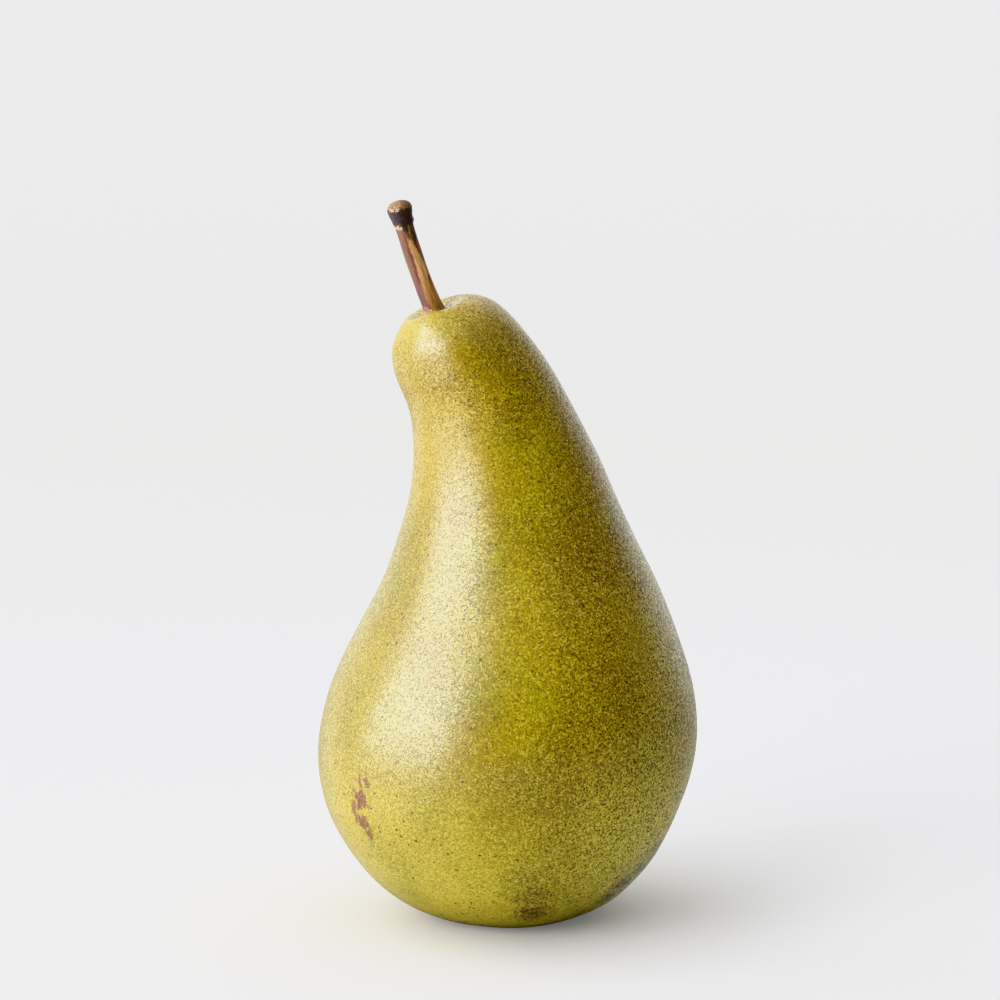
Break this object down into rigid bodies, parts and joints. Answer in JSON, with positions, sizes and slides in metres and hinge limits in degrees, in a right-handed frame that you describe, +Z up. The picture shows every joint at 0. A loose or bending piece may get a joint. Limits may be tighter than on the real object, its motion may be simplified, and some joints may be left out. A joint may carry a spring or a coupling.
{
  "type": "pear",
  "caption": "Fresh long-necked pear standing on its blossom end, with a woody stem that ends in a small knob and a dried calyx in a hollow underneath.",
  "frame": {"origin": "on the surface that the pear stands on, under the middle of its outline", "axes": "+Z up from the blossom end to the stem; the neck leans towards -X; -Y is the side seen from the front"},
  "size_m": [0.0684, 0.0678, 0.1286],
  "materials": {
    "skin": "satin",
    "stem_wood": "satin",
    "dried_calyx": "matte"
  },
  "bodies": {
    "root": {"fruit": "skin", "stem": "stem_wood", "calyx": "dried_calyx"}
  },
  "joints": []
}
